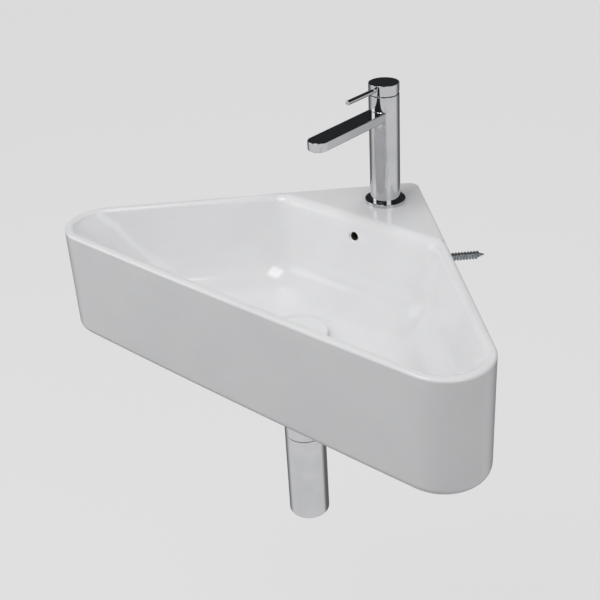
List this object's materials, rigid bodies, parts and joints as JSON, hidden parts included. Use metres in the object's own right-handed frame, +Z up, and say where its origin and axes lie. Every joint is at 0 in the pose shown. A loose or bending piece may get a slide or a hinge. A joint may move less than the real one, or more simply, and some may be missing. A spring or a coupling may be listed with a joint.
{
  "type": "corner basin",
  "caption": "Wall-hung corner washbasin with thin rim, bowl and tap deck, single-lever column tap, push-plug waste and cylinder trap.",
  "frame": {"origin": "where the two walls of the room meet, at the height of the basin's rim", "axes": "+Z up, +Y towards the room's corner, +X to the right seen from the front; the front faces -Y and the walls lie at 45 degrees"},
  "size_m": [0.5586, 0.3434, 0.4934],
  "materials": {
    "white_glaze": "gloss",
    "chrome": "polished",
    "brass": "satin",
    "zinc_steel": "satin",
    "stainless": "satin",
    "black_rubber": "matte",
    "white_nylon": "satin",
    "grey_plastic": "satin",
    "alumina": "satin"
  },
  "bodies": {
    "basin": {"basin_body": "white_glaze", "waste_body": "chrome", "trap_inlet_nut": "chrome", "trap_inlet_tube": "chrome", "trap_head": "chrome", "trap_cup": "chrome", "trap_outlet_nut": "chrome", "outlet_tube": "chrome", "wall_rosette": "chrome", "tap_base_ring": "chrome", "tap_body": "chrome", "aerator_housing": "chrome", "waste_locknut": "brass", "cartridge_nut": "brass", "tap_stud_nut": "brass", "wall_studs": "zinc_steel", "fixing_washers": "zinc_steel", "fixing_nuts": "zinc_steel", "tap_stud": "zinc_steel", "tap_clamp_plate": "zinc_steel", "latch_spring": "stainless", "waste_upper_seal": "black_rubber", "waste_lower_seal": "black_rubber", "trap_inlet_seal": "black_rubber", "trap_head_seal": "black_rubber", "trap_cup_seal": "black_rubber", "trap_outlet_seal": "black_rubber", "tap_base_gasket": "black_rubber", "aerator_seal": "black_rubber", "cartridge_seal": "black_rubber", "tap_clamp_seal": "black_rubber", "wall_bushes": "white_nylon", "waste_slip_washer": "white_nylon", "latch_barrel": "white_nylon", "aerator_insert": "grey_plastic", "cartridge_base": "grey_plastic", "cartridge_housing": "grey_plastic", "fixed_disc": "alumina"},
    "rotor": {"cartridge_rotor": "white_nylon", "rotor_pin": "stainless"},
    "lever": {"lever_spindle": "stainless", "lever_cap": "chrome", "lever_rod": "chrome", "cap_screw": "stainless"},
    "disc": {"moving_disc": "alumina", "disc_carrier": "white_nylon"},
    "plug": {"waste_cover": "white_glaze", "plug_carrier": "brass", "plug_seal": "black_rubber"}
  },
  "joints": [
    {"name": "lever_turn", "type": "hinge", "parent": "basin", "child": "rotor", "pos_m": [0, -0.066, 0.1148], "axis": [0, 0, 1], "range_deg": [-45, 45]},
    {"name": "lever_lift", "type": "hinge", "parent": "rotor", "child": "lever", "pos_m": [0, -0.066, 0.1148], "axis": [-1, 0, 0], "range_deg": [0, 18]},
    {"name": "disc_slide", "type": "slide", "parent": "rotor", "child": "disc", "axis": [0, -1, 0], "range_m": [0, 0.00345]},
    {"name": "plug_press", "type": "slide", "parent": "basin", "child": "plug", "axis": [0, 0, 1], "range_m": [0, 0.008], "deforming": ["latch_spring"]}
  ],
  "couplings": [
    {"joint": "disc_slide", "follows": "lever_lift", "m_per_rad": 0.01085}
  ]
}
